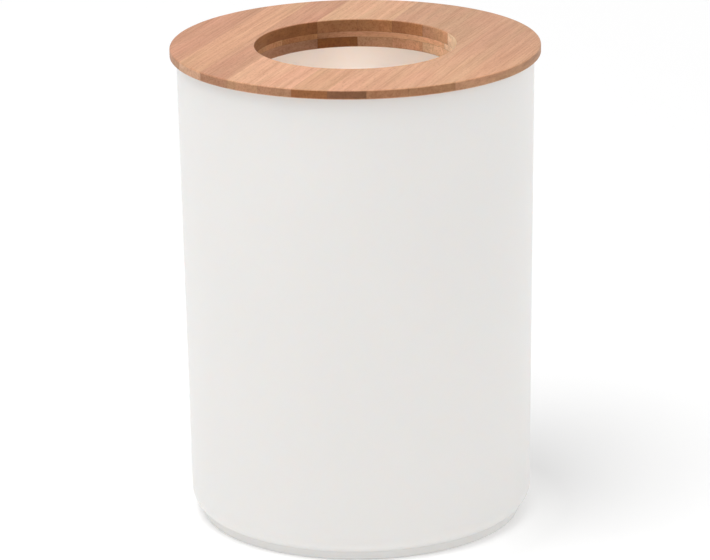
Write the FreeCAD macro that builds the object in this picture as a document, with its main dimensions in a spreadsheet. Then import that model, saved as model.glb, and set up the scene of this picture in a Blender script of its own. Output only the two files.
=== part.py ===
import FreeCAD, Part
import math
import os

import Sketcher

# Round waste bin: a moulded plastic shell with a loose bamboo lid that has an open hole.
# Millimetres and degrees. +Z is up, and the origin is the middle of the foot ring's underside.
# The lid is a panel of three glued plies of bamboo strips, turned to a flange and a spigot.

SIZES = {
    # Moulded shell
    "body_height": 265.3,  # floor to rim
    "rim_diameter": 197.8,  # outside, at the rim
    "wall_draft": 0.7,  # degrees that the wall leans in towards the base
    "wall_thickness": 2.4,
    "floor_thickness": 2.6,
    "corner_radius": 11.0,  # outside round between the wall and the base
    "rim_round": 0.9,
    "foot_inset": 6.1,  # from the foot of the wall in to the foot ring
    "foot_width": 3.2,
    "foot_height": 3.5,
    "foot_round": 0.7,
    # Turned bamboo lid
    "lid_overhang": 3.6,  # past the outside of the rim
    "hole_diameter": 111.4,
    "flange_thickness": 5.0,  # the part of the lid that shows above the rim
    "spigot_clearance": 0.8,  # gap all round between the spigot and the shell
    "spigot_chamfer": 1.2,
    "lid_edge_round": 1.0,
    "flange_under_chamfer": 0.5,
    "hole_edge_round": 0.8,
    # Bamboo strips
    "top_ply_thickness": 7.1,
    "core_ply_thickness": 3.2,
    "bottom_ply_thickness": 5.9,
    "stave_width": 19.7,  # strips of the top and bottom plies
    "core_stave_width": 19.7,
    "seam_offset": 1.5,  # from the middle of the lid to the seam nearest it
    "stave_angle": 69.5,  # the top ply's grain, turned from +X towards +Y
}

CROSSWISE = 90.0
FULL_TURN = 360.0
EDGE_TOLERANCE = 0.01
# A leftover narrower than this share of a strip stays part of the strip beside it.
SLIVER_SHARE = 0.15
# Two rounds on one narrow edge leave at least the rest of its width flat.
LARGEST_ROUND_SHARE = 0.4

# Heights and radii that several features share, as expressions on the sheet.
LID_TOP = "(Sizes.body_height + Sizes.flange_thickness)"
TOP_PLY_FLOOR = f"({LID_TOP} - Sizes.top_ply_thickness)"
CORE_PLY_FLOOR = f"({TOP_PLY_FLOOR} - Sizes.core_ply_thickness)"
LID_BOTTOM = f"({CORE_PLY_FLOOR} - Sizes.bottom_ply_thickness)"
FLOOR_TOP = "(Sizes.foot_height + Sizes.floor_thickness)"
RIM_RADIUS = "(Sizes.rim_diameter / 2)"
WALL_LEAN = "tan(Sizes.wall_draft)"
BASE_RADIUS = f"({RIM_RADIUS} - {WALL_LEAN} * (Sizes.body_height - Sizes.foot_height))"
INSIDE_RIM_RADIUS = f"({RIM_RADIUS} - Sizes.wall_thickness)"
INSIDE_FLOOR_RADIUS = f"({INSIDE_RIM_RADIUS} - {WALL_LEAN} * (Sizes.body_height - {FLOOR_TOP}))"
INSIDE_CORNER_RADIUS = "(Sizes.corner_radius - Sizes.wall_thickness)"
FOOT_RADIUS = f"({BASE_RADIUS} - Sizes.foot_inset)"
FOOT_INSIDE_RADIUS = f"({FOOT_RADIUS} - Sizes.foot_width)"
LID_RADIUS = f"({RIM_RADIUS} + Sizes.lid_overhang)"
HOLE_RADIUS = "(Sizes.hole_diameter / 2)"
SPIGOT_RADIUS = f"({INSIDE_RIM_RADIUS} - Sizes.spigot_clearance)"
RIM_ROUND = f"min(Sizes.rim_round; {LARGEST_ROUND_SHARE} * Sizes.wall_thickness)"
FOOT_ROUND = f"min(Sizes.foot_round; {LARGEST_ROUND_SHARE} * Sizes.foot_width)"
# Half a strip as sawn, long enough to be trimmed at the lid's edge.
SAWN_HALF = f"({LID_RADIUS} + Sizes.stave_width)"

doc = FreeCAD.newDocument("WasteBin")


def make_sheet():
    """The driving sizes, one named cell each."""
    cells = doc.addObject("Spreadsheet::Sheet", "Sizes")
    for row, (alias, size) in enumerate(SIZES.items(), start=1):
        cells.set(f"A{row}", alias)
        cells.set(f"B{row}", str(size))
        cells.setAlias(f"B{row}", alias)
    doc.recompute()
    return cells


sheet = make_sheet()


def value(expression):
    """An expression on the sheet as a plain number."""
    return float(sheet.evalExpression(expression))


def origin_plane(body, role):
    return next(feature for feature in body.Origin.OriginFeatures if feature.Role == role)


def sketch_on(body, name, role):
    sketch = body.newObject("Sketcher::SketchObject", name)
    sketch.AttachmentSupport = [(origin_plane(body, role), "")]
    sketch.MapMode = "FlatFace"
    return sketch


def fix_point(sketch, kind, name, point, expression):
    """Holds a point's distance from the origin, or puts the point on the axis where that is 0."""
    if expression == "0":
        axis = {"DistanceX": -2, "DistanceY": -1}[kind]
        sketch.addConstraint(Sketcher.Constraint("PointOnObject", *point, axis))
        return
    index = sketch.addConstraint(Sketcher.Constraint(kind, -1, 1, *point, value(expression)))
    sketch.renameConstraint(index, name)
    sketch.setExpression(f"Constraints.{name}", expression)


def round_at(corner, before, after, radius):
    """The arc that rounds a corner between its two neighbours, all as vectors."""
    to_before = (before - corner).normalize()
    to_after = (after - corner).normalize()
    half_angle = to_before.getAngle(to_after) / 2
    middle = (to_before + to_after).normalize()
    start = corner + to_before * (radius / math.tan(half_angle))
    end = corner + to_after * (radius / math.tan(half_angle))
    crown = corner + middle * (radius / math.sin(half_angle) - radius)
    return Part.Arc(start, crown, end)


def half_section(body, name, corners, rounds=None):
    """A closed outline in the XZ plane, anticlockwise; each corner is a radius and a height.

    Corners are expressions, and rounds gives the radius of each rounded corner by its number."""
    sketch = sketch_on(body, name, "XZ_Plane")
    rounds = rounds or {}
    count = len(corners)
    points = [FreeCAD.Vector(value(radius), value(height), 0) for radius, height in corners]
    arcs = {}
    for corner, radius in rounds.items():
        neighbours = (points[corner - 1], points[(corner + 1) % count])
        arcs[corner] = round_at(points[corner], *neighbours, value(radius))
    for corner in range(count):
        following = (corner + 1) % count
        start = arcs[corner].EndPoint if corner in arcs else points[corner]
        end = arcs[following].StartPoint if following in arcs else points[following]
        sketch.addGeometry(Part.LineSegment(start, end))
    for corner, (radius, height) in enumerate(corners):
        held = (corner, 1)
        side_before = (corner - 1) % count
        if corner in arcs:
            arc = sketch.addGeometry(arcs[corner])
            held = (sketch.addGeometry(Part.Point(points[corner]), True), 1)
            sketch.addConstraint(Sketcher.Constraint("Tangent", side_before, 2, arc, 1))
            sketch.addConstraint(Sketcher.Constraint("Tangent", arc, 2, corner, 1))
            sketch.addConstraint(Sketcher.Constraint("PointOnObject", *held, side_before))
            sketch.addConstraint(Sketcher.Constraint("PointOnObject", *held, corner))
            index = sketch.addConstraint(Sketcher.Constraint("Radius", arc, value(rounds[corner])))
            sketch.renameConstraint(index, f"round_{corner}")
            sketch.setExpression(f"Constraints.round_{corner}", rounds[corner])
        else:
            sketch.addConstraint(Sketcher.Constraint("Coincident", side_before, 2, corner, 1))
        fix_point(sketch, "DistanceX", f"radius_{corner}", held, radius)
        fix_point(sketch, "DistanceY", f"height_{corner}", held, height)
    return sketch


def circles_on_floor(body, name, radii):
    """Circles round the origin in the XY plane."""
    sketch = sketch_on(body, name, "XY_Plane")
    for index, radius in enumerate(radii):
        circle = Part.Circle(FreeCAD.Vector(0, 0, 0), FreeCAD.Vector(0, 0, 1), value(radius))
        sketch.addGeometry(circle)
        sketch.addConstraint(Sketcher.Constraint("Coincident", index, 3, -1, 1))
        constraint = sketch.addConstraint(Sketcher.Constraint("Radius", index, value(radius)))
        sketch.renameConstraint(constraint, f"radius_{index}")
        sketch.setExpression(f"Constraints.radius_{index}", radius)
    return sketch


def turn(body, kind, name, sketch):
    """Turns a half section about the Z axis, to add material or to cut it away."""
    feature = body.newObject(kind, name)
    feature.Profile = sketch
    feature.ReferenceAxis = (sketch, ["V_Axis"])
    feature.Angle = FULL_TURN
    doc.recompute()
    return feature


def level_edge(feature, radius, height):
    """The name of the circular edge with that radius and height, given as expressions."""
    for index, edge in enumerate(feature.Shape.Edges, start=1):
        if not isinstance(edge.Curve, Part.Circle):
            continue
        off_radius = abs(edge.Curve.Radius - value(radius))
        off_height = abs(edge.Curve.Center.z - value(height))
        if max(off_radius, off_height) < EDGE_TOLERANCE:
            return f"Edge{index}"
    raise ValueError(f"{feature.Label} has no edge of radius {radius} at height {height}")


def dress_edges(body, kind, name, circles, size):
    """Rounds or chamfers the body's circular edges, each given as a radius and a height."""
    base = body.Tip
    feature = body.newObject(kind, name)
    feature.Base = (base, [level_edge(base, radius, height) for radius, height in circles])
    feature.setExpression({"PartDesign::Fillet": "Radius", "PartDesign::Chamfer": "Size"}[kind], size)
    doc.recompute()
    return feature


def make_shell():
    """The moulded shell: a tapered wall with a round corner, standing on a narrow foot ring."""
    body = doc.addObject("PartDesign::Body", "BinBody")
    body.Label = "bin_body"
    outside = half_section(
        body,
        "OutsideSection",
        [
            ("0", "Sizes.foot_height"),
            (BASE_RADIUS, "Sizes.foot_height"),
            (RIM_RADIUS, "Sizes.body_height"),
            ("0", "Sizes.body_height"),
        ],
        rounds={1: "Sizes.corner_radius"},
    )
    turn(body, "PartDesign::Revolution", "Outside", outside)

    # The ring runs up into the solid corner, so it meets the round wherever that stands.
    foot = body.newObject("PartDesign::Pad", "FootRing")
    foot.Profile = circles_on_floor(body, "FootCircles", [FOOT_RADIUS, FOOT_INSIDE_RADIUS])
    foot.setExpression("Length", "Sizes.foot_height + Sizes.corner_radius")
    body.Tip = foot
    doc.recompute()

    inside = half_section(
        body,
        "InsideSection",
        [
            ("0", FLOOR_TOP),
            (INSIDE_FLOOR_RADIUS, FLOOR_TOP),
            (INSIDE_RIM_RADIUS, "Sizes.body_height"),
            ("0", "Sizes.body_height"),
        ],
        rounds={1: INSIDE_CORNER_RADIUS},
    )
    turn(body, "PartDesign::Groove", "Inside", inside)
    rim = [(RIM_RADIUS, "Sizes.body_height"), (INSIDE_RIM_RADIUS, "Sizes.body_height")]
    dress_edges(body, "PartDesign::Fillet", "RimRound", rim, RIM_ROUND)
    sole = [(FOOT_RADIUS, "0"), (FOOT_INSIDE_RADIUS, "0")]
    dress_edges(body, "PartDesign::Fillet", "FootRound", sole, FOOT_ROUND)
    return body


def make_lid_blank():
    """The outline that the glued panel is turned to: a flange over a spigot, with a hole through both."""
    body = doc.addObject("PartDesign::Body", "LidBlank")
    section = half_section(
        body,
        "LidSection",
        [
            (HOLE_RADIUS, LID_BOTTOM),
            (SPIGOT_RADIUS, LID_BOTTOM),
            (SPIGOT_RADIUS, "Sizes.body_height"),
            (LID_RADIUS, "Sizes.body_height"),
            (LID_RADIUS, LID_TOP),
            (HOLE_RADIUS, LID_TOP),
        ],
    )
    turn(body, "PartDesign::Revolution", "LidTurned", section)
    top_edge = [(LID_RADIUS, LID_TOP)]
    dress_edges(body, "PartDesign::Fillet", "LidEdgeRound", top_edge, "Sizes.lid_edge_round")
    under_edge = [(LID_RADIUS, "Sizes.body_height")]
    dress_edges(body, "PartDesign::Chamfer", "FlangeUnderChamfer", under_edge, "Sizes.flange_under_chamfer")
    hole_edges = [(HOLE_RADIUS, LID_TOP), (HOLE_RADIUS, LID_BOTTOM)]
    dress_edges(body, "PartDesign::Fillet", "HoleEdgeRound", hole_edges, "Sizes.hole_edge_round")
    lead_in = [(SPIGOT_RADIUS, LID_BOTTOM)]
    dress_edges(body, "PartDesign::Chamfer", "SpigotChamfer", lead_in, "Sizes.spigot_chamfer")
    return body


def make_stave(blank, label, sawn_sizes, turned_by):
    """One length of bamboo strip, trimmed to the lid's outline and turned to its ply's grain."""
    sawn = doc.addObject("Part::Box", f"{label}_sawn")
    for setting, expression in sawn_sizes.items():
        sawn.setExpression(setting, expression)
    stave = doc.addObject("Part::Common", label)
    stave.Label = label
    stave.Base = sawn
    stave.Tool = blank
    # A new object's rotation is about +Z.
    stave.setExpression("Placement.Rotation.Angle", turned_by)
    return stave


def strip_lengths(low_side, high_side, far_end):
    """A strip's start and length, by the ending of its label: two lengths where the hole parts it."""
    if max(abs(value(low_side)), abs(value(high_side))) < value(HOLE_RADIUS):
        return {"": (f"-{SAWN_HALF}", SAWN_HALF), f"_{far_end}": ("0 mm", SAWN_HALF)}
    return {"": (f"-{SAWN_HALF}", f"2 * {SAWN_HALF}")}


def make_ply(blank, name, stave_width, levels, grain):
    """The strips of one ply, numbered outwards on each side of the seam nearest the middle."""
    underside, thickness = levels
    turned_by, (low_name, high_name), far_end = grain
    in_flange = value(f"{underside} + {thickness} - Sizes.body_height") > EDGE_TOLERANCE
    reach = value(LID_RADIUS if in_flange else SPIGOT_RADIUS)
    staves = []
    for side_name, outwards in ((low_name, -1), (high_name, 1)):
        room = reach - outwards * value("Sizes.seam_offset")
        count = math.ceil(room / value(stave_width) - SLIVER_SHARE)
        for number in range(1, count + 1):
            # The outermost strip is sawn twice as wide, and the lid's edge trims it.
            last = number + 1 if number == count else number
            sides = [
                f"(Sizes.seam_offset + {outwards * seam} * {stave_width})" for seam in (number - 1, last)
            ]
            low_side, high_side = sorted(sides, key=value)
            for ending, (start, length) in strip_lengths(low_side, high_side, far_end).items():
                sawn_sizes = {
                    "Length": length,
                    "Width": f"{high_side} - {low_side}",
                    "Height": thickness,
                    "Placement.Base.x": start,
                    "Placement.Base.y": f"-{high_side}",
                    "Placement.Base.z": underside,
                }
                label = f"{name}_stave_{side_name}_{number}{ending}"
                staves.append(make_stave(blank, label, sawn_sizes, turned_by))
    return staves


def make_lid():
    """Top and bottom plies with parallel grain, and a thinner core that runs across them."""
    blank = make_lid_blank()
    top = (TOP_PLY_FLOOR, "Sizes.top_ply_thickness")
    core = (CORE_PLY_FLOOR, "Sizes.core_ply_thickness")
    bottom = (LID_BOTTOM, "Sizes.bottom_ply_thickness")
    # Each grain: its turn, the two sides of its middle seam, and the end that a second length reaches.
    along = ("Sizes.stave_angle", ("left", "right"), "back")
    across = (f"Sizes.stave_angle + {CROSSWISE}", ("front", "back"), "left")
    staves = make_ply(blank, "top", "Sizes.stave_width", top, along)
    staves += make_ply(blank, "core", "Sizes.core_stave_width", core, across)
    staves += make_ply(blank, "bottom", "Sizes.stave_width", bottom, along)
    return staves


def check(pieces):
    """Stops before anything is written if an object failed or a piece has no sound solid."""
    for item in doc.Objects:
        if {"Invalid", "Error"} & set(item.State):
            raise RuntimeError(f"{item.Label} failed: {item.State}")
    for piece in pieces:
        if piece.Shape.isNull() or not piece.Shape.isValid() or not piece.Shape.Solids:
            raise RuntimeError(f"{piece.Label} has no sound solid")


def main():
    pieces = [make_shell()] + make_lid()
    doc.recompute()
    check(pieces)
    os.makedirs("parts", exist_ok=True)
    for piece in pieces:
        piece.Shape.exportStep(os.path.join("parts", f"{piece.Label}.step"))
    print(f"{len(pieces)} pieces written")


main()
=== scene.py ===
import math

import bmesh
import bpy
from bpy.props import FloatProperty, FloatVectorProperty, PointerProperty
from mathutils import Matrix, Vector


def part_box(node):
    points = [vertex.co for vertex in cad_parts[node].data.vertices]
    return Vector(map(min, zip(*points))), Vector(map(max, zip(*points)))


bl_info = {
    "name": "Waste Bin with Bamboo Lid",
    "version": (1, 0, 0),
    "blender": (4, 5, 0),
    "location": "3D View > Sidebar > Waste Bin",
    "description": "Finishes a round moulded waste bin and its bamboo strip lid, and sets them on a studio floor",
    "category": "Object",
}

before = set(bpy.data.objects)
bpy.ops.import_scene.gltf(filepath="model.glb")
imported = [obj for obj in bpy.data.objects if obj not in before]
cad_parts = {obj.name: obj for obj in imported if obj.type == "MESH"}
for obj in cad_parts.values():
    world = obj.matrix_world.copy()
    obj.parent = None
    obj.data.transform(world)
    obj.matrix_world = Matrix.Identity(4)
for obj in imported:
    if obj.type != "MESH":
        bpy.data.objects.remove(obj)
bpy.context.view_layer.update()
MILLIMETRE = 0.001

# The grain of the top and bottom plies, turned from +X towards +Y. The core runs across it.
ALONG = math.radians(69.5)
ACROSS = math.radians(159.5)
# Stands for a seam or a cut that a strip doesn't have.
FAR_OFF = 1.0
# Edges of two strips that are this close share a seam.
SEAM_SLACK = 0.01 * MILLIMETRE
# A point this close to the hole's radius lies on the hole's wall.
HOLE_SLACK = 0.2 * MILLIMETRE
# Each strip is cut this much farther on in the grown bamboo: along the grain, across it and up.
STRIP_SHIFT = (0.31, 0.173, 0.117)
# No mark is taken to be narrower.
LEAST_WIDTH = 0.1 * MILLIMETRE


def strip(face, rim, hole, far_face=None, left_hole=None, fall=0.0):
    """Tones of one strip: its sanded face, its cut at the rim and its cut in the hole.

    The face can have another, darker tone at the back of the lid, which is painted shade, and the cut in the hole
    another one at its left end.
    The fall is the share by which that left end is darker, and the right end lighter, than the tone. The left end's
    tone and the fall are painted light and shade along the hole's wall.
    """
    return (face, far_face or face, rim, hole, left_hole or hole), (1.0, 1.0, 1.0, 1.0 + fall, 1.0 - fall)


# The tones of the cuts in the hole are painted light and shade: they are lighter towards the hole's right end, where
# light falls in from the left, most of all the ivory, cream and apricot cuts. The fall adds the same kind of painted
# change along a strip.
STRIP_TONES = {
    # In the top ply the back lengths (_back) and the far faces have darker faces than the front: painted shade, as the
    # light grows weaker towards the back of the lid.
    "top": {
        "left_6": strip("rosy", "tan", "tan"),
        "left_5": strip("rosy", "tan", "tan"),
        "left_4": strip("golden", "straw", "tan"),
        "left_3": strip("rosy", "fawn", "chestnut", fall=-0.10),
        "left_2": strip("pale", "tan", "russet"),
        "left_2_back": strip("wheat", "tan", "russet"),
        "left_1": strip("pale", "fawn", "russet"),
        "left_1_back": strip("wheat", "fawn", "copper", fall=0.18),
        "right_1": strip("golden", "chestnut", "copper"),
        "right_1_back": strip("amber", "russet", "copper", fall=0.23),
        "right_2": strip("honey", "umber", "russet"),
        "right_2_back": strip("amber", "russet", "sorrel", fall=0.24),
        "right_3": strip("honey", "walnut", "ivory", far_face="amber"),
        "right_4": strip("honey", "walnut", "tan", far_face="amber"),
        "right_5": strip("golden", "tan", "tan", far_face="amber"),
    },
    "core": {
        "back_1": strip("honey", "russet", "ivory"),
        "back_1_left": strip("honey", "russet", "ginger"),
        "back_2": strip("honey", "tan", "ivory"),
        "back_2_left": strip("honey", "tan", "copper"),
        "back_3": strip("honey", "russet", "apricot", left_hole="walnut"),
        "front_2": strip("honey", "tan", "tan"),
    },
    "bottom": {
        "left_4": strip("wheat", "tan", "tan"),
        "left_3": strip("amber", "russet", "fawn", fall=-0.24),
        "left_2": strip("rosy", "umber", "smoked"),
        "left_2_back": strip("rosy", "umber", "smoked"),
        "left_1": strip("honey", "fawn", "tan"),
        "left_1_back": strip("honey", "fawn", "tan", fall=0.15),
        "right_1": strip("wheat", "tan", "sorrel"),
        "right_1_back": strip("wheat", "tan", "sorrel", fall=0.14),
        "right_2": strip("pale", "straw", "cream"),
        "right_2_back": strip("pale", "straw", "cream", fall=0.15),
        "right_3": strip("golden", "russet", "cream"),
    },
}
USUAL_TONES = strip("honey", "tan", "ginger")


def tint(name, default, description):
    """A colour that a user may change."""
    return FloatVectorProperty(
        name=name, description=description, subtype="COLOR", size=3, min=0.0, max=1.0, default=default
    )


def length(name, default, description):
    """A length in metres that a user may change."""
    return FloatProperty(
        name=name, description=description, unit="LENGTH", precision=5, min=0.0, default=default
    )


def share(name, default, description):
    """A share from none to all that a user may change."""
    return FloatProperty(
        name=name, description=description, subtype="FACTOR", min=0.0, max=1.0, default=default
    )


def angle(name, default, description):
    """An angle that a user may change, with its default in degrees."""
    return FloatProperty(name=name, description=description, subtype="ANGLE", default=math.radians(default))


def power(name, default, description):
    """The power of a lamp, in watts, that a user may change."""
    return FloatProperty(name=name, description=description, unit="POWER", min=0.0, default=default)


class PlasticFinish(bpy.types.PropertyGroup):
    """The white moulded plastic of the body."""

    colour: tint("Plastic", (0.754, 0.743, 0.726), "Colour of the moulded plastic")
    gloss_spread: share("Roughness", 0.36, "How far the satin surface spreads its highlights")
    glow_depth: length("Glow depth", 1.5 * MILLIMETRE, "How far light travels inside the wall")
    ripple_size: length("Ripple size", 9 * MILLIMETRE, "Width of the faint waves that moulding leaves")
    ripple_depth: length("Ripple depth", 0.02 * MILLIMETRE, "Depth of the faint waves that moulding leaves")


class BambooFinish(bpy.types.PropertyGroup):
    """The sanded and oiled bamboo of the lid."""

    pale: tint("Pale face", (0.608, 0.324, 0.196), "Sanded face of the lightest strips")
    wheat: tint("Wheat face", (0.568, 0.313, 0.182), "Sanded face of the light strips")
    honey: tint("Honey face", (0.562, 0.298, 0.174), "Sanded face of the reddish strips")
    golden: tint("Golden face", (0.545, 0.288, 0.162), "Sanded face of the yellowish strips")
    amber: tint("Amber face", (0.478, 0.256, 0.149), "Sanded face of the middling strips")
    rosy: tint("Rosy face", (0.485, 0.237, 0.138), "Sanded face of the pinkish strips")
    # Painted highlight: the ivory, cream and apricot cuts are far lighter than the wood, for the light that falls on
    # the hole's right end.
    ivory: tint("Ivory cut", (0.920, 0.640, 0.430), "Cut edge of the palest strips")
    cream: tint("Cream cut", (0.822, 0.487, 0.300), "Cut edge of the pale strips")
    apricot: tint("Apricot cut", (0.810, 0.428, 0.246), "Cut edge of the pale orange strips")
    sorrel: tint("Sorrel cut", (0.580, 0.292, 0.161), "Cut edge of the light reddish strips")
    straw: tint("Straw cut", (0.550, 0.313, 0.200), "Cut edge of the yellowish strips")
    ginger: tint("Ginger cut", (0.505, 0.245, 0.113), "Cut edge of the orange strips")
    tan: tint("Tan cut", (0.408, 0.212, 0.115), "Cut edge of the light strips")
    copper: tint("Copper cut", (0.388, 0.166, 0.068), "Cut edge of the warm brown strips")
    fawn: tint("Fawn cut", (0.358, 0.178, 0.098), "Cut edge of the middling strips")
    walnut: tint("Walnut cut", (0.315, 0.149, 0.070), "Cut edge of the greyish brown strips")
    russet: tint("Russet cut", (0.312, 0.132, 0.053), "Cut edge of the reddish brown strips")
    chestnut: tint("Chestnut cut", (0.258, 0.097, 0.030), "Cut edge of the brown strips")
    umber: tint("Umber cut", (0.180, 0.077, 0.032), "Cut edge of the dark strips")
    smoked: tint("Smoked cut", (0.200, 0.066, 0.014), "Cut edge of the darkest strips")
    bundle_spacing: length("Bundle spacing", 1.5 * MILLIMETRE, "Distance between the dark fibre bundles")
    streak_width: length("Streak width", 4 * MILLIMETRE, "Width of the broad streaks along the grain")
    fibre_width: length("Fibre width", 0.7 * MILLIMETRE, "Width of the fine fibres")
    fibre_depth: length("Fibre depth", 0.04 * MILLIMETRE, "Depth of the fine fibres")
    seam_width: length("Seam width", 0.22 * MILLIMETRE, "Width of the glue line on each strip's edge")
    gloss_spread: share("Roughness", 0.5, "How far the oiled surface spreads its highlights")


class StudioStage(bpy.types.PropertyGroup):
    """The floor, the lights and the camera."""

    floor_colour: tint("Floor", (0.92, 0.92, 0.92), "Colour of the plain floor")
    floor_size: length("Floor size", 24.0, "Width of the plain floor")
    # Painted light: the floor glows round the base to lift the bin's contact shadow.
    base_shadow_lift: share("Table glow", 0.11, "Brightness of the light that shines through the floor round the base")
    far_glow: share("Far glow", 0.12, "Brightness of the light that shines through the floor farther off")
    key_power: power("Softbox", 17.5, "Power of the large softbox")
    key_size: length("Softbox size", 1.2, "Width of the large softbox")
    inside_power: power("Inside lamp", 0.92, "Power of the small lamp inside the bin")
    inside_colour: tint("Inside light", (1.0, 0.88, 0.79), "Colour of the small lamp inside the bin")
    inside_beam: angle("Inside beam", 92.0, "Width of the small lamp's beam, as an angle")
    horizon_glow: share("Horizon glow", 1.0, "Brightness of the white walls round the floor")
    ceiling_glow: share("Ceiling glow", 0.72, "Brightness of the ceiling")
    side_glow: share("Side glow", 0.2, "How much brighter the wall at the right is")
    lens: FloatProperty(
        name="Lens", description="Focal length of the camera", unit="CAMERA", min=1.0, default=218.0
    )
    distance: length("Distance", 2.41292, "From the camera to the point that it looks at")
    elevation: angle("Elevation", 17.314, "How far above the floor's plane the camera stands, as an angle")
    roll: angle("Roll", -0.829, "Tilt of the picture")


def feed(tree, node, feeds):
    """Sets a node's inputs to numbers or colours, or links other nodes' sockets to them."""
    for key, given in feeds.items():
        if isinstance(given, bpy.types.NodeSocket):
            tree.links.new(given, node.inputs[key])
        else:
            node.inputs[key].default_value = given


def add_node(tree, kind, feeds=None, **settings):
    """Adds a node with its settings and its inputs."""
    node = tree.nodes.new(kind)
    for name, setting in settings.items():
        setattr(node, name, setting)
    feed(tree, node, feeds or {})
    return node


def work_out(tree, operation, *feeds):
    """The result of a Math node."""
    return add_node(tree, "ShaderNodeMath", dict(enumerate(feeds)), operation=operation).outputs[0]


def work_out_vector(tree, operation, *feeds):
    """The result of a Vector Math node."""
    return add_node(tree, "ShaderNodeVectorMath", dict(enumerate(feeds)), operation=operation).outputs[0]


def reach_of(tree, place):
    """How far a place lies from the origin."""
    return add_node(tree, "ShaderNodeVectorMath", {0: place}, operation="LENGTH").outputs["Value"]


def axes_of(tree, vector):
    """The x, y and z of a vector."""
    return add_node(tree, "ShaderNodeSeparateXYZ", {0: vector}).outputs


def fade(tree, given, start, end, low=0.0, high=1.0, course="SMOOTHSTEP"):
    """Goes from low to high while what is given goes from start to end."""
    feeds = {"Value": given, "From Min": start, "From Max": end, "To Min": low, "To Max": high}
    return add_node(tree, "ShaderNodeMapRange", feeds, interpolation_type=course).outputs["Result"]


# Sockets of a Mix node that take colours: it has others of the same names for numbers and vectors.
MIX_FACTOR, MIX_FIRST, MIX_SECOND, MIX_RESULT = 0, 6, 7, 2


def mix_tints(tree, factor, first, second, blend="MIX"):
    """Two colours mixed by a factor."""
    feeds = {MIX_FACTOR: factor, MIX_FIRST: first, MIX_SECOND: second}
    return add_node(tree, "ShaderNodeMix", feeds, data_type="RGBA", blend_type=blend).outputs[MIX_RESULT]


def solid(colour, dimmed=1.0):
    """A colour for a socket."""
    return (*(part * dimmed for part in colour), 1.0)


def mottled(tree, patches, colour, change):
    """A colour that is a little darker or lighter in patches."""
    return mix_tints(tree, patches, solid(colour, 1.0 - change), solid(colour, 1.0 + change))


def times(factor, axes):
    """Three numbers, each multiplied by a factor."""
    return tuple(factor * axis for axis in axes)


def per_metre(width):
    """How many marks of a width lie side by side in a metre."""
    return 1.0 / max(width, LEAST_WIDTH)


def clouds(tree, place, often, detail=2.0, roughness=0.5):
    """Noise round 0.5 at a place in metres, which changes as often in a metre as is said for x, y and z."""
    feeds = {
        "Vector": work_out_vector(tree, "MULTIPLY", place, often),
        "Scale": 1.0,
        "Detail": detail,
        "Roughness": roughness,
    }
    return add_node(tree, "ShaderNodeTexNoise", feeds, noise_dimensions="3D").outputs[0]


def new_material(name):
    """An empty material with its output and one Principled shader."""
    material = bpy.data.materials.new(name)
    material.use_nodes = True
    tree = material.node_tree
    tree.nodes.clear()
    shader = add_node(tree, "ShaderNodeBsdfPrincipled")
    add_node(tree, "ShaderNodeOutputMaterial", {"Surface": shader.outputs[0]})
    return material, tree, shader


def bumps(tree, height, strength, depth):
    """A surface's normal from its height."""
    feeds = {"Height": height, "Strength": strength, "Distance": depth}
    return add_node(tree, "ShaderNodeBump", feeds).outputs[0]


def wear(node, material):
    """Puts a material on every slot of a CAD node."""
    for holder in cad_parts[node].material_slots:
        holder.material = material


# How often the plastic's marks change in a metre, along x, y and z, and its waves in the size of a ripple
FINE_GRAIN = (1800.0, 1800.0, 1800.0)
MILKY_PATCHES = (14.0, 14.0, 9.0)
WAVES = (1.0, 1.0, 0.35)
# How much the marks change the plastic's colour, its roughness and its height
PATCH_TINT = 0.015
PATCH_GLOSS, GRAIN_GLOSS = 0.12, 0.05
GRAIN_RISE = 0.08
PLASTIC_BUMP = 0.6
PLASTIC_IOR = 1.49
# Red light travels farthest inside the wall.
LIGHT_TRAVEL = (1.0, 0.82, 0.70)


def plastic_material(finish):
    """Satin moulded plastic that lets a little light through, with faint waves and a fine grain."""
    material, tree, shader = new_material("white_moulded_plastic")
    place = add_node(tree, "ShaderNodeTexCoord").outputs["Object"]
    waves = clouds(tree, place, times(per_metre(finish.ripple_size), WAVES), detail=1.0)
    grain = clouds(tree, place, FINE_GRAIN, detail=1.0)
    patches = clouds(tree, place, MILKY_PATCHES, detail=3.0)

    spread = work_out(tree, "MULTIPLY_ADD", patches, PATCH_GLOSS, finish.gloss_spread - PATCH_GLOSS / 2)
    rise = work_out(tree, "MULTIPLY_ADD", grain, GRAIN_RISE, waves)
    feeds = {
        "Base Color": mottled(tree, patches, finish.colour, PATCH_TINT),
        "Roughness": work_out(tree, "MULTIPLY_ADD", grain, GRAIN_GLOSS, spread),
        "Normal": bumps(tree, rise, PLASTIC_BUMP, finish.ripple_depth),
        "IOR": PLASTIC_IOR,
        "Subsurface Weight": 1.0,
        "Subsurface Radius": LIGHT_TRAVEL,
        "Subsurface Scale": finish.glow_depth,
    }
    feed(tree, shader, feeds)
    return material


# The right and left hole tones, mixed along the hole's wall, carry painted light and shade.
TONE_INPUTS = ("Near Face", "Far Face", "Rim Cut", "Right Hole", "Left Hole")
SEAM_INPUTS = ("Low Seam", "High Seam", "Under Seam", "Over Seam")
GROUP_INPUTS = {
    "Grain": "NodeSocketFloat",
    "Offset": "NodeSocketVector",
    **{name: "NodeSocketColor" for name in TONE_INPUTS},
    "Hole From": "NodeSocketFloat",
    "Hole To": "NodeSocketFloat",
    **{name: "NodeSocketFloat" for name in SEAM_INPUTS},
}
GROUP_OUTPUTS = {"Colour": "NodeSocketColor", "Roughness": "NodeSocketFloat", "Height": "NodeSocketFloat"}

# How often in a metre the grain wanders, along the grain, across it and up, and how far it goes to the side
WANDER, WANDER_REACH = (7.0, 14.0, 14.0), 6 * MILLIMETRE
FINE_WANDER, FINE_WANDER_REACH = (45.0, 90.0, 90.0), 0.6 * MILLIMETRE
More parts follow.
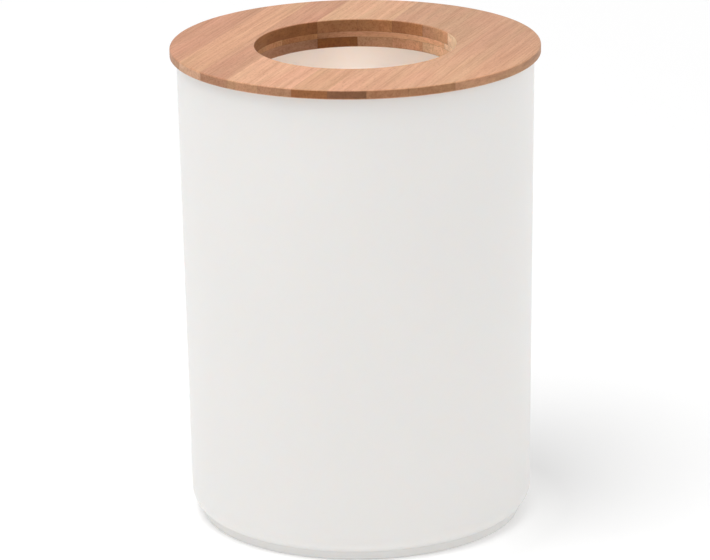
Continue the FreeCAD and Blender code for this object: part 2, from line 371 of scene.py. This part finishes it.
# How often in a metre the wood goes from reddish to yellowish, by the same axes
WARM_PATCHES = (16.0, 60.0, 60.0)
# How often the marks change in the width of a streak or a fibre, by the same axes
BANDS = (0.05, 1.0, 0.8)
STREAKS = (0.07, 2.6, 2.2)
FIBRES = (0.04, 1.0, 0.9)
FLECKS = (0.28, 1.0, 1.0)
# Where in its noise a mark starts to show, and where it shows in full
BAND_RANGE = (0.28, 0.72)
MARK_RANGE = (0.30, 0.70)
FLECK_RANGE = (0.55, 0.70)
# How far from its middle a fibre bundle is whole, and where it ends, in the bundles' spacing
BUNDLE_RANGE = (0.12, 0.42)
# Streaks break up the bundles and the glue lines over these ranges.
BROKEN_BUNDLES = (0.30, 0.60)
BROKEN_GLUE = (0.30, 0.65)
# How squarely a surface faces along the grain where it is end grain, and upwards where it is sanded
END_GRAIN_RANGE = (0.45, 0.98)
SANDED_RANGE = (0.30, 0.90)
# Where the face's tone changes along the strip, to its painted shade at the back of the lid, and how far from the axis
# the rim's cuts begin
FACE_RANGE = (-55 * MILLIMETRE, 55 * MILLIMETRE)
RIM_RANGE = (65 * MILLIMETRE, 85 * MILLIMETRE)
# How much each mark darkens the wood. A bundle is a line on the strip's sides and a dot on its end grain.
BAND_DARK, STREAK_DARK, FIBRE_DARK, FLECK_DARK = 0.32, 0.34, 0.24, 0.42
LINE_DARK, DOT_DARK = 0.14, 0.30
# What a tone is multiplied by in the lightest and the darkest marks, and in reddish and yellowish patches
LIGHTEST, DARKEST = (1.18, 1.20, 1.22), (0.78, 0.72, 0.66)
REDDISH, YELLOWISH = (1.03, 0.99, 1.00), (0.97, 1.01, 0.97)
# Glue lines: their colour, their strength, and what is left of it on the sanded face and between streaks
GLUE_TINT = (0.10, 0.045, 0.02)
GLUE_STRENGTH, GLUE_ON_FACE, GLUE_BETWEEN_STREAKS = 0.5, 0.4, 0.2
# The share of a glue line's width that has its full strength
GLUE_CORE = 0.15
# How much the marks roughen, raise and sink the surface
FIBRE_GLOSS, BUNDLE_GLOSS, END_GRAIN_GLOSS = 0.16, 0.06, 0.10
BUNDLE_RISE, GLUE_RISE = -0.5, -1.2
BAMBOO_BUMP = 0.5
BAMBOO_IOR = 1.45
BAMBOO_SPECULAR = 0.35


def wood_marks(group, own_place, finish):
    """What shows in the wood: broad bands, feathered streaks, fine fibres, short dark flecks and fibre bundles."""
    fine_sway = work_out(group, "MULTIPLY", clouds(group, own_place, FINE_WANDER, detail=1.0), FINE_WANDER_REACH)
    wander = clouds(group, own_place, WANDER, detail=1.0)
    sway = work_out(group, "MULTIPLY_ADD", wander, WANDER_REACH, fine_sway)
    aside = add_node(group, "ShaderNodeCombineXYZ", {"Y": sway}).outputs[0]
    grown = work_out_vector(group, "ADD", own_place, aside)

    widths = (finish.streak_width, finish.fibre_width, finish.bundle_spacing)
    streak, fibre, bundle = (per_metre(width) for width in widths)
    streaks = clouds(group, grown, times(streak, STREAKS), detail=3.0, roughness=0.6)
    # Bundles are cells across the grain.
    axes = axes_of(group, grown)
    feeds = {to: work_out(group, "MULTIPLY", axes[axis], bundle) for to, axis in (("X", "Y"), ("Y", "Z"))}
    cells_at = add_node(group, "ShaderNodeCombineXYZ", feeds).outputs[0]
    cells = add_node(group, "ShaderNodeTexVoronoi", {"Vector": cells_at, "Scale": 1.0}, voronoi_dimensions="2D")
    whole_bundles = fade(group, cells.outputs["Distance"], *BUNDLE_RANGE, 1.0, 0.0)
    return {
        "bands": clouds(group, grown, times(streak, BANDS), detail=2.0),
        "streaks": streaks,
        "fibres": clouds(group, grown, times(fibre, FIBRES), detail=2.0, roughness=0.6),
        "flecks": fade(group, clouds(group, grown, times(fibre, FLECKS), detail=1.0), *FLECK_RANGE),
        "bundles": work_out(group, "MULTIPLY", whole_bundles, fade(group, streaks, *BROKEN_BUNDLES)),
    }


def strip_tone(group, given, lid_place, place, sanded):
    """The strip's tone at a place: on its face, in the hole or at the rim, with painted light and shade in the hole and
    at the back of the face.
    """
    # Painted shade: the face turns to its far tone, darker towards the back of the lid.
    face = mix_tints(group, fade(group, axes_of(group, place)["X"], *FACE_RANGE), given["Near Face"], given["Far Face"])
    # Painted light and shade along the hole's wall: the cut goes from its left end's tone to its right end's tone.
    hole_light_rightwards = axes_of(group, lid_place)["X"]
    hole_light_rightwards = fade(group, hole_light_rightwards, given["Hole From"], given["Hole To"], course="LINEAR")
    hole = mix_tints(group, hole_light_rightwards, given["Left Hole"], given["Right Hole"])
    from_axis = reach_of(group, work_out_vector(group, "MULTIPLY", place, (1.0, 1.0, 0.0)))
    cut = mix_tints(group, fade(group, from_axis, *RIM_RANGE), hole, given["Rim Cut"])
    return mix_tints(group, sanded, cut, face)


def shaded_wood(group, tone, marks, end_grain, warmth):
    """A tone with the wood's marks in it."""
    dark = work_out(group, "MULTIPLY", fade(group, marks["bands"], *BAND_RANGE), BAND_DARK)
    dark = work_out(group, "MULTIPLY_ADD", fade(group, marks["streaks"], *MARK_RANGE), STREAK_DARK, dark)
    dark = work_out(group, "MULTIPLY_ADD", fade(group, marks["fibres"], *MARK_RANGE), FIBRE_DARK, dark)
    dark = work_out(group, "MULTIPLY_ADD", marks["flecks"], FLECK_DARK, dark)
    bundle_dark = fade(group, end_grain, 0.0, 1.0, LINE_DARK, DOT_DARK)
    dark = work_out(group, "MULTIPLY_ADD", marks["bundles"], bundle_dark, dark)
    shade = mix_tints(group, dark, solid(LIGHTEST), solid(DARKEST))
    wood = mix_tints(group, 1.0, tone, shade, blend="MULTIPLY")
    patches = mix_tints(group, fade(group, warmth, *MARK_RANGE), solid(REDDISH), solid(YELLOWISH))
    return mix_tints(group, 1.0, wood, patches, blend="MULTIPLY")


def glue_lines(group, given, place, sanded, streaks, finish):
    """How much glue shows at a place: most on the strip's cuts, and hardly any between the streaks."""
    axes = axes_of(group, place)
    side = work_out(group, "MULTIPLY", axes["Y"], -1.0)
    gaps = [
        work_out(group, "ABSOLUTE", work_out(group, "SUBTRACT", given[name], at))
        for name, at in zip(SEAM_INPUTS, (side, side, axes["Z"], axes["Z"]))
    ]
    beside, above = work_out(group, "MINIMUM", *gaps[:2]), work_out(group, "MINIMUM", *gaps[2:])
    nearest = work_out(group, "MINIMUM", beside, above)
    glue = fade(group, nearest, GLUE_CORE * finish.seam_width, finish.seam_width, GLUE_STRENGTH, 0.0)
    glue = work_out(group, "MULTIPLY", glue, fade(group, sanded, 0.0, 1.0, 1.0, GLUE_ON_FACE))
    return work_out(group, "MULTIPLY", glue, fade(group, streaks, *BROKEN_GLUE, GLUE_BETWEEN_STREAKS, 1.0))


def bamboo_group(finish):
    """Solid bamboo: fibre bundles that are lines along the grain and dots across it, in streaky wood."""
    group = bpy.data.node_groups.new("bamboo_fibres", "ShaderNodeTree")
    for direction, sockets in (("INPUT", GROUP_INPUTS), ("OUTPUT", GROUP_OUTPUTS)):
        for name, kind in sockets.items():
            group.interface.new_socket(name=name, in_out=direction, socket_type=kind)
    given = add_node(group, "NodeGroupInput").outputs
    coordinates = add_node(group, "ShaderNodeTexCoord").outputs

    # Strip axes: x along the grain, y across it and z up.
    back_turn = work_out(group, "MULTIPLY", given["Grain"], -1.0)
    turned = []
    for socket in (coordinates["Object"], coordinates["Normal"]):
        feeds = {"Vector": socket, "Angle": back_turn}
        turned.append(add_node(group, "ShaderNodeVectorRotate", feeds, rotation_type="Z_AXIS").outputs[0])
    place, facing = turned
    facing = axes_of(group, facing)
    end_grain = fade(group, work_out(group, "ABSOLUTE", facing["X"]), *END_GRAIN_RANGE)
    sanded = fade(group, work_out(group, "ABSOLUTE", facing["Z"]), *SANDED_RANGE)
    own_place = work_out_vector(group, "ADD", place, given["Offset"])

    marks = wood_marks(group, own_place, finish)
    warmth = clouds(group, own_place, WARM_PATCHES, detail=1.0)
    tone = strip_tone(group, given, coordinates["Object"], place, sanded)
    wood = shaded_wood(group, tone, marks, end_grain, warmth)
    glue = glue_lines(group, given, place, sanded, marks["streaks"], finish)

    rough = work_out(group, "MULTIPLY_ADD", marks["fibres"], FIBRE_GLOSS, finish.gloss_spread - FIBRE_GLOSS / 2)
    rough = work_out(group, "MULTIPLY_ADD", marks["bundles"], BUNDLE_GLOSS, rough)
    height = work_out(group, "MULTIPLY_ADD", marks["bundles"], BUNDLE_RISE, marks["fibres"])
    feeds = {
        "Colour": mix_tints(group, glue, wood, solid(GLUE_TINT)),
        "Roughness": work_out(group, "MULTIPLY_ADD", end_grain, END_GRAIN_GLOSS, rough),
        "Height": work_out(group, "MULTIPLY_ADD", glue, GLUE_RISE, height),
    }
    add_node(group, "NodeGroupOutput", feeds)
    return group


def bamboo_material(name, group, strip_feeds, finish):
    """One strip's own bamboo, from the shared group."""
    material, tree, shader = new_material(name)
    fibres = add_node(tree, "ShaderNodeGroup", node_tree=group)
    feed(tree, fibres, strip_feeds)
    feeds = {
        "Base Color": fibres.outputs["Colour"],
        "Roughness": fibres.outputs["Roughness"],
        "Normal": bumps(tree, fibres.outputs["Height"], BAMBOO_BUMP, finish.fibre_depth),
        "IOR": BAMBOO_IOR,
        "Specular IOR Level": BAMBOO_SPECULAR,
    }
    feed(tree, shader, feeds)
    return material


def corners(node):
    """The points of a CAD node's mesh."""
    return [vertex.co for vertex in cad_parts[node].data.vertices]


def strip_span(node, grain):
    """How far a strip reaches across its grain, to each side of the lid's middle."""
    outwards = Vector((math.sin(grain), -math.cos(grain), 0.0))
    reaches = [outwards.dot(corner) for corner in corners(node)]
    return min(reaches), max(reaches)


def hole_reach(node, hole_radius):
    """How far a strip's cut in the hole reaches to the left and to the right."""
    cut = [corner.x for corner in corners(node) if corner.xy.length < hole_radius + HOLE_SLACK]
    return (min(cut), max(cut)) if cut else (-FAR_OFF, FAR_OFF)


def shared_seam(edge, other_edges):
    """Where a strip's edge lies against another strip, or far off where none lies against it."""
    return edge if any(abs(edge - other) < SEAM_SLACK for other in other_edges) else FAR_OFF


def lay_ply(ply, grain, under, over, finish):
    """Gives each strip of a ply its own bamboo, and glue lines where another strip lies against it."""
    prefix = f"{ply}_stave_"
    strips = sorted(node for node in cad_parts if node.startswith(prefix))
    spans = {node: strip_span(node, grain) for node in strips}
    lows, highs = zip(*spans.values())
    hole_radius = min(corner.xy.length for node in strips for corner in corners(node))
    group = bpy.data.node_groups.get("bamboo_fibres") or bamboo_group(finish)
    for number, node in enumerate(strips):
        label = node[len(prefix):]
        tones = zip(TONE_INPUTS, *STRIP_TONES[ply].get(label, USUAL_TONES))
        low, high = spans[node]
        hole_left, hole_right = hole_reach(node, hole_radius)
        feeds = {
            "Grain": grain,
            "Offset": times(number, STRIP_SHIFT),
            **{name: solid(getattr(finish, tone), dimmed) for name, tone, dimmed in tones},
            "Hole From": hole_left,
            "Hole To": hole_right,
            "Low Seam": shared_seam(low, highs),
            "High Seam": shared_seam(high, lows),
            "Under Seam": under,
            "Over Seam": over,
        }
        wear(node, bamboo_material(f"bamboo_{ply}_{label}", group, feeds, finish))


def core_levels():
    """Heights of the core ply's underside and top."""
    low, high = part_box("core_stave_front_1")
    return low.z, high.z


class WASTEBIN_OT_mould_body(bpy.types.Operator):
    """Give the moulded body its white satin plastic"""

    bl_idname = "waste_bin.mould_body"
    bl_label = "Moulded Body"

    def execute(self, context):
        wear("bin_body", plastic_material(context.scene.bin_plastic))
        return {"FINISHED"}


class WASTEBIN_OT_lay_top_ply(bpy.types.Operator):
    """Give the strips of the lid's top ply their bamboo"""

    bl_idname = "waste_bin.lay_top_ply"
    bl_label = "Top Ply"

    def execute(self, context):
        lay_ply("top", ALONG, core_levels()[1], FAR_OFF, context.scene.bin_bamboo)
        return {"FINISHED"}


class WASTEBIN_OT_lay_core_ply(bpy.types.Operator):
    """Give the strips of the lid's core ply their bamboo"""

    bl_idname = "waste_bin.lay_core_ply"
    bl_label = "Core Ply"

    def execute(self, context):
        lay_ply("core", ACROSS, *core_levels(), context.scene.bin_bamboo)
        return {"FINISHED"}


class WASTEBIN_OT_lay_bottom_ply(bpy.types.Operator):
    """Give the strips of the lid's bottom ply their bamboo"""

    bl_idname = "waste_bin.lay_bottom_ply"
    bl_label = "Bottom Ply"

    def execute(self, context):
        lay_ply("bottom", ALONG, -FAR_OFF, core_levels()[0], context.scene.bin_bamboo)
        return {"FINISHED"}


# The floor
FLOOR_SQUARES = 8
FLOOR_PATCHES = (3.0, 3.0, 3.0)
FLOOR_TINT = 0.01
FLOOR_ROUGHNESS = 0.9
FLOOR_SPECULAR = 0.1
# Where, as distances from the bin's axis, the glow at the base fades away and the far one comes up. The glow at the
# base is painted light that lifts the bin's contact shadow on the floor.
BASE_SHADOW_LIFT_RANGE = (91.5 * MILLIMETRE, 120 * MILLIMETRE)
FAR_GLOW_RANGE = (0.3, 1.6)
# The softbox: which way and how far it stands from the point that it lights
SOFTBOX_SIDE = Vector((-0.25, -0.25, 1.0))
SOFTBOX_REACH = 1.65
SOFTBOX_AIM = Vector((0.0, 0.0, 0.25))
# The small lamp inside: where it stands, what it lights, how soft its beam's edge is and how wide its bulb
LAMP_PLACE = Vector((0.0, -0.075, 0.16))
LAMP_AIM = Vector((0.0, 0.096, 0.127))
LAMP_SOFTNESS = 0.2
LAMP_BULB = 0.02
# How steeply upwards the walls become the ceiling, and how far to the right they become brighter
CEILING_RANGE = (0.05, 0.55)
RIGHT_RANGE = (0.0, 0.9)
# The camera: the point that it looks at, and its sensor's width in millimetres
CAMERA_AIM = Vector((-1.98, 0.0, 133.44)) * MILLIMETRE
SENSOR_WIDTH = 36.0
WHITE = solid((1.0, 1.0, 1.0))


def add_object(name, data):
    """Links new data into the scene as an object."""
    made = bpy.data.objects.new(name, data)
    bpy.context.scene.collection.objects.link(made)
    return made


def floor_material(stage):
    """Pale matt paint that glows a little round the base, as painted light that lifts the bin's contact shadow, and
    farther off.
    """
    material, tree, shader = new_material("pale_floor")
    place = add_node(tree, "ShaderNodeTexCoord").outputs["Object"]
    patches = clouds(tree, place, FLOOR_PATCHES, detail=2.0)
    from_axis = reach_of(tree, place)
    # Painted light round the base, which lifts the contact shadow.
    near = fade(tree, from_axis, *BASE_SHADOW_LIFT_RANGE, stage.base_shadow_lift, 0.0)
    far = fade(tree, from_axis, *FAR_GLOW_RANGE, 0.0, stage.far_glow)
    feeds = {
        "Base Color": mottled(tree, patches, stage.floor_colour, FLOOR_TINT),
        "Roughness": FLOOR_ROUGHNESS,
        "Specular IOR Level": FLOOR_SPECULAR,
        "Emission Color": WHITE,
        "Emission Strength": work_out(tree, "ADD", near, far),
    }
    feed(tree, shader, feeds)
    return material


def lay_floor(stage):
    """A plain pale floor under the bin."""
    sheet = bmesh.new()
    bmesh.ops.create_grid(sheet, x_segments=FLOOR_SQUARES, y_segments=FLOOR_SQUARES, size=stage.floor_size / 2)
    mesh = bpy.data.meshes.new("studio_floor")
    sheet.to_mesh(mesh)
    sheet.free()
    mesh.materials.append(floor_material(stage))
    floor = add_object("studio_floor", mesh)


def turn_back(direction):
    """The turn of a lamp whose back points in a direction."""
    return direction.to_track_quat("Z", "Y").to_euler()


def hang_softbox(stage):
    """One large softbox over the bin, to the left and in front."""
    lamp = bpy.data.lights.new("softbox", "AREA")
    lamp.shape = "SQUARE"
    lamp.size = stage.key_size
    lamp.energy = stage.key_power
    softbox = add_object("softbox", lamp)
    towards = SOFTBOX_SIDE.normalized()
    softbox.location = SOFTBOX_AIM + SOFTBOX_REACH * towards
    softbox.rotation_euler = turn_back(towards)


def hide_inside_lamp(stage):
    """A small lamp inside the bin, close behind its front wall, which lights the inside of the back wall."""
    lamp = bpy.data.lights.new("inside_lamp", "SPOT")
    lamp.energy = stage.inside_power
    lamp.color = stage.inside_colour
    lamp.spot_size = stage.inside_beam
    lamp.spot_blend = LAMP_SOFTNESS
    lamp.shadow_soft_size = LAMP_BULB
    hidden = add_object("inside_lamp", lamp)
    hidden.location = LAMP_PLACE
    hidden.rotation_euler = turn_back(LAMP_PLACE - LAMP_AIM)
    hidden.visible_camera = False


def light_walls(stage):
    """White walls round the floor, under a dim ceiling."""
    world = bpy.data.worlds.new("studio_walls")
    world.use_nodes = True
    tree = world.node_tree
    tree.nodes.clear()
    towards = axes_of(tree, add_node(tree, "ShaderNodeTexCoord").outputs["Generated"])
    glow = fade(tree, towards["Z"], *CEILING_RANGE, stage.horizon_glow, stage.ceiling_glow)
    glow = work_out(tree, "ADD", glow, fade(tree, towards["X"], *RIGHT_RANGE, 0.0, stage.side_glow))
    background = add_node(tree, "ShaderNodeBackground", {"Color": WHITE, "Strength": glow})
    add_node(tree, "ShaderNodeOutputWorld", {"Surface": background.outputs[0]})
    bpy.context.scene.world = world


def aim_camera(stage):
    """A long lens at the photograph's angle."""
    lens = bpy.data.cameras.new("camera")
    lens.sensor_fit = "HORIZONTAL"
    lens.sensor_width = SENSOR_WIDTH
    lens.lens = stage.lens
    camera = add_object("camera", lens)
    tilt = Matrix.Rotation(math.pi / 2 - stage.elevation, 4, "X")
    turned = tilt @ Matrix.Rotation(stage.roll, 4, "Z")
    camera.matrix_world = Matrix.Translation(CAMERA_AIM + stage.distance * tilt.col[2].to_3d()) @ turned
    bpy.context.scene.camera = camera


class WASTEBIN_OT_set_stage(bpy.types.Operator):
    """Lay the floor, light it and aim the camera"""

    bl_idname = "waste_bin.set_stage"
    bl_label = "Stage"

    def execute(self, context):
        stage = context.scene.bin_stage
        lay_floor(stage)
        hang_softbox(stage)
        hide_inside_lamp(stage)
        light_walls(stage)
        aim_camera(stage)
        view = context.scene.view_settings
        view.view_transform = "Standard"
        view.look = "None"
        return {"FINISHED"}


OPERATORS = (
    WASTEBIN_OT_mould_body,
    WASTEBIN_OT_lay_top_ply,
    WASTEBIN_OT_lay_core_ply,
    WASTEBIN_OT_lay_bottom_ply,
    WASTEBIN_OT_set_stage,
)
SETTINGS = {"bin_plastic": PlasticFinish, "bin_bamboo": BambooFinish, "bin_stage": StudioStage}


class WASTEBIN_PT_panel(bpy.types.Panel):
    """The bin's pieces and their settings"""

    bl_idname = "WASTEBIN_PT_panel"
    bl_label = "Waste Bin"
    bl_space_type = "VIEW_3D"
    bl_region_type = "UI"
    bl_category = "Waste Bin"

    def draw(self, context):
        for operator in OPERATORS:
            self.layout.operator(operator.bl_idname)
        for name, group in SETTINGS.items():
            box = self.layout.box()
            box.label(text=group.__doc__)
            for setting in group.__annotations__:
                box.prop(getattr(context.scene, name), setting)


CLASSES = (*SETTINGS.values(), *OPERATORS, WASTEBIN_PT_panel)


def register():
    """Adds the settings, the operators and the panel to Blender."""
    for each in CLASSES:
        bpy.utils.register_class(each)
    for name, group in SETTINGS.items():
        setattr(bpy.types.Scene, name, PointerProperty(type=group))


def unregister():
    """Takes them out again."""
    for name in SETTINGS:
        delattr(bpy.types.Scene, name)
    for each in reversed(CLASSES):
        bpy.utils.unregister_class(each)


def main():
    """Finishes the bin and sets its stage."""
    register()
    for operator in OPERATORS:
        family, action = operator.bl_idname.split(".")
        getattr(getattr(bpy.ops, family), action)()


if __name__ == "__main__":
    main()
